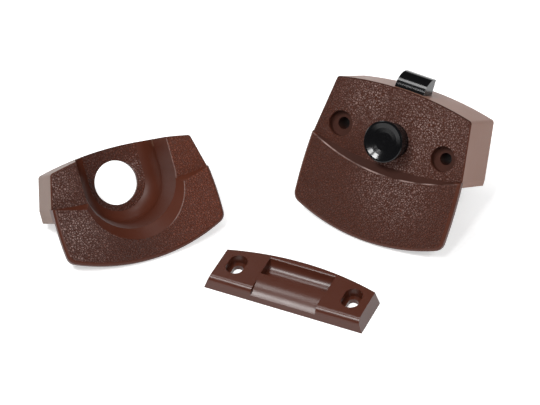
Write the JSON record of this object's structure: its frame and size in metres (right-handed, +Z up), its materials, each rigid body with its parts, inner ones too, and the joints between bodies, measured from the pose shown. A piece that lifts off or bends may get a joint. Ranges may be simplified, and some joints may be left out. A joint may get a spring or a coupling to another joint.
{
  "type": "privacy latch",
  "caption": "Push-button privacy latch for a light interior door: inner housing with a spring bolt, outer housing with a thumb scoop, and a strike plate, lying flat.",
  "frame": {"origin": "on the surface under the strike plate, midway between its two screw slots", "axes": "+Z up from the surface the three pieces lie on; +X to the right and +Y away from the viewer in the reference view"},
  "size_m": [0.191, 0.1223, 0.0562],
  "materials": {
    "brown_plastic": "fine moulded grain",
    "brown_plastic_smooth": "satin",
    "black_plastic": "gloss",
    "rod_plastic": "satin",
    "spring_steel": "drawn wire",
    "screw_steel": "zinc plated"
  },
  "bodies": {
    "housing": {"inner_housing": "brown_plastic", "back_plate": "brown_plastic_smooth", "back_plate_screw_1": "screw_steel", "back_plate_screw_2": "screw_steel", "back_plate_screw_3": "screw_steel", "back_plate_screw_4": "screw_steel", "button_spring": "spring_steel", "bolt_spring_1": "spring_steel", "bolt_spring_2": "spring_steel", "outer_housing": "brown_plastic", "strike_plate": "brown_plastic_smooth"},
    "button": {"push_button": "black_plastic", "plunger_rod": "rod_plastic"},
    "bolt": {"latch_bolt": "black_plastic"}
  },
  "joints": [
    {"name": "button_press", "type": "slide", "parent": "housing", "child": "button", "axis": [0.4114, 0.7227, -0.5554], "range_m": [0, 0.0068], "stiffness_N_per_m": 300, "deforming": ["button_spring"]},
    {"name": "bolt_retract", "type": "slide", "parent": "housing", "child": "bolt", "axis": [-0.2748, -0.4827, -0.8316], "range_m": [0, 0.0068], "stiffness_N_per_m": 150, "deforming": ["bolt_spring_1", "bolt_spring_2"]}
  ],
  "couplings": [
    {"joint": "bolt_retract", "follows": "button_press", "ratio": 1}
  ]
}
